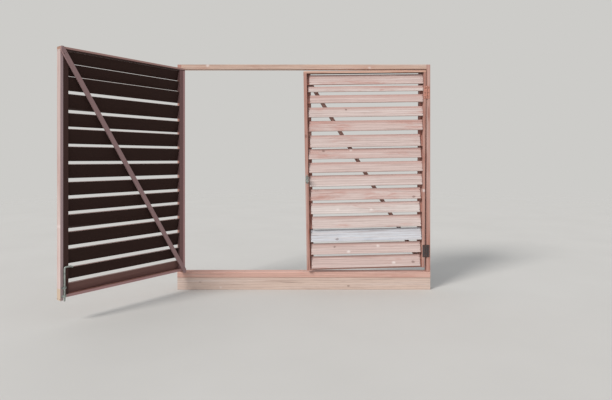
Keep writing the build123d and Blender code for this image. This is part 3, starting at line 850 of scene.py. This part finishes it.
def add_fixings():
    """Add every nail and screw, in one piece for each part that holds them."""
    iron = ("hinge_iron", nail_metal("nail_heads"))
    for side in SIDES:
        _, out, upright = LEAVES[side]
        leaf = f"{side}_leaf"
        nails = slat_nails(side) + brace_nails(side) + stile_nails(side)
        heads(f"{side}_leaf_nails", nails, NAIL, leaf, iron)
        plates = (f"{side}_frame_hinge_plates", OUTWARD, UP), (f"{side}_leaf_hinge_plates", out, upright)
        for (node, facing, way), body in zip(plates, ("frame", leaf)):
            places = plate_screws(node, facing, way, HINGE_SCREWS, HINGE_SCREW_FROM_EDGE)
            heads(f"{node}_screws", places, SCREW, body, iron)
    heads("threshold_nails", tread_nails(), NAIL, "frame", iron)

    bright = ("galvanised_steel", frame["nodes"]["staple"].data.materials[0])
    along, out, upright = LEAVES["left"]
    heads("guide_screws", guide_screws(-out, along), SMALL_SCREW, "left_leaf", bright)
    places = plate_screws("staple", out, upright, LATCH_SCREWS, STAPLE_SCREW_FROM_EDGE)
    heads("staple_screws", places, FLUSH_SCREW, "left_leaf", bright)
    _, out, upright = LEAVES["right"]
    places = plate_screws("hasp_base", out, upright, LATCH_SCREWS, HASP_SCREW_FROM_EDGE)
    heads("hasp_screws", places, SMALL_SCREW, "right_leaf", bright)


# Stage, lights and camera

FLOOR_SIDES = 96
FLOOR_RADIUS = 30
FLOOR_DROP = 1 * MM
FLOOR_LIGHT = colour(206, 204, 200)
FLOOR_DARK = colour(197, 195, 191)
FLOOR_CLOUDS = Noise((0.8, 0.8, 0.8), 3)
FLOOR_ROUGHNESS = 0.9
# Distances from the middle at which the floor begins to fade and is gone
FLOOR_FADE = (6, 22)

BACKDROP = colour(205, 204, 201)
SKY = (0.93, 0.96, 1.0, 1)
SKY_STRENGTH = 0.62

# Place of the camera in metres, its lens and sensor in millimetres, and the rest of its view
EYE = (0.026, -5.883, 1.600)
LENS = 28
SENSOR = 36
HORIZON_SHIFT = -0.067
VIEW_END = 200


def add_floor():
    """A pale round floor that fades out far from the door."""
    bpy.ops.mesh.primitive_circle_add(vertices=FLOOR_SIDES, radius=FLOOR_RADIUS, fill_type="NGON",
                                      location=(0, 0, -FLOOR_DROP))
    floor = bpy.context.object
    floor.name = "floor"
    graph = Graph("floor")
    place = graph.node("ShaderNodeTexCoord").outputs["Object"]
    graph.shade({
        "Base Color": graph.mix(graph.noise(place, FLOOR_CLOUDS), FLOOR_LIGHT, FLOOR_DARK),
        "Roughness": FLOOR_ROUGHNESS,
    })
    far = graph.node("ShaderNodeVectorMath", {0: place}, operation="LENGTH").outputs["Value"]
    clear = graph.node("ShaderNodeBsdfTransparent").outputs[0]
    faded = graph.node("ShaderNodeMixShader", {0: graph.step(far, *FLOOR_FADE), 1: graph.shader.outputs[0],
                                               2: clear}).outputs[0]
    graph.feed(graph.tree.nodes["Material Output"].inputs["Surface"], faded)
    floor.data.materials.append(graph.material)


def add_world():
    """A soft sky that lights the door, with a plain backdrop for the camera and for reflections."""
    world = bpy.data.worlds.new("studio")
    bpy.context.scene.world = world
    world.use_nodes = True
    tree = world.node_tree
    lit = tree.nodes["Background"]
    lit.inputs["Color"].default_value = SKY
    lit.inputs["Strength"].default_value = SKY_STRENGTH
    seen = tree.nodes.new("ShaderNodeBackground")
    seen.inputs["Color"].default_value = BACKDROP
    seen.inputs["Strength"].default_value = 1
    path = tree.nodes.new("ShaderNodeLightPath")
    either = tree.nodes.new("ShaderNodeMath")
    either.operation = "MAXIMUM"
    blend = tree.nodes.new("ShaderNodeMixShader")
    tree.links.new(path.outputs["Is Camera Ray"], either.inputs[0])
    tree.links.new(path.outputs["Is Glossy Ray"], either.inputs[1])
    tree.links.new(either.outputs[0], blend.inputs[0])
    tree.links.new(lit.outputs[0], blend.inputs[1])
    tree.links.new(seen.outputs[0], blend.inputs[2])
    tree.links.new(blend.outputs[0], tree.nodes["World Output"].inputs[0])


def add_sun(name, azimuth, elevation, energy, softness, tint):
    """A far lamp that shines from an azimuth, counted from the front to the right, and an elevation."""
    lamp = bpy.data.lights.new(name, "SUN")
    lamp.energy = energy
    lamp.angle = radians(softness)
    lamp.color = tint
    piece = bpy.data.objects.new(name, lamp)
    bpy.context.collection.objects.link(piece)
    turn = radians(azimuth)
    rise = radians(elevation)
    source = Vector((sin(turn) * cos(rise), -cos(turn) * cos(rise), sin(rise)))
    piece.rotation_euler = source.to_track_quat("Z", "Y").to_euler()


def add_camera():
    """A level camera at eye height, square to the frame."""
    lens = bpy.data.cameras.new("camera")
    lens.lens = LENS
    lens.sensor_width = SENSOR
    lens.shift_y = HORIZON_SHIFT
    lens.clip_end = VIEW_END
    lens.dof.use_dof = False
    piece = bpy.data.objects.new("camera", lens)
    piece.location = EYE
    piece.rotation_euler = (pi / 2, 0, 0)
    bpy.context.collection.objects.link(piece)
    bpy.context.scene.camera = piece


dress_frame()
for leaf_side in SIDES:
    dress_leaf(leaf_side)
dress_metal()
add_fixings()
add_floor()
add_world()
add_sun("key", azimuth=-45, elevation=38, energy=2.3, softness=18, tint=(1.0, 0.97, 0.94))
add_camera()
bpy.context.scene.view_settings.view_transform = "Standard"
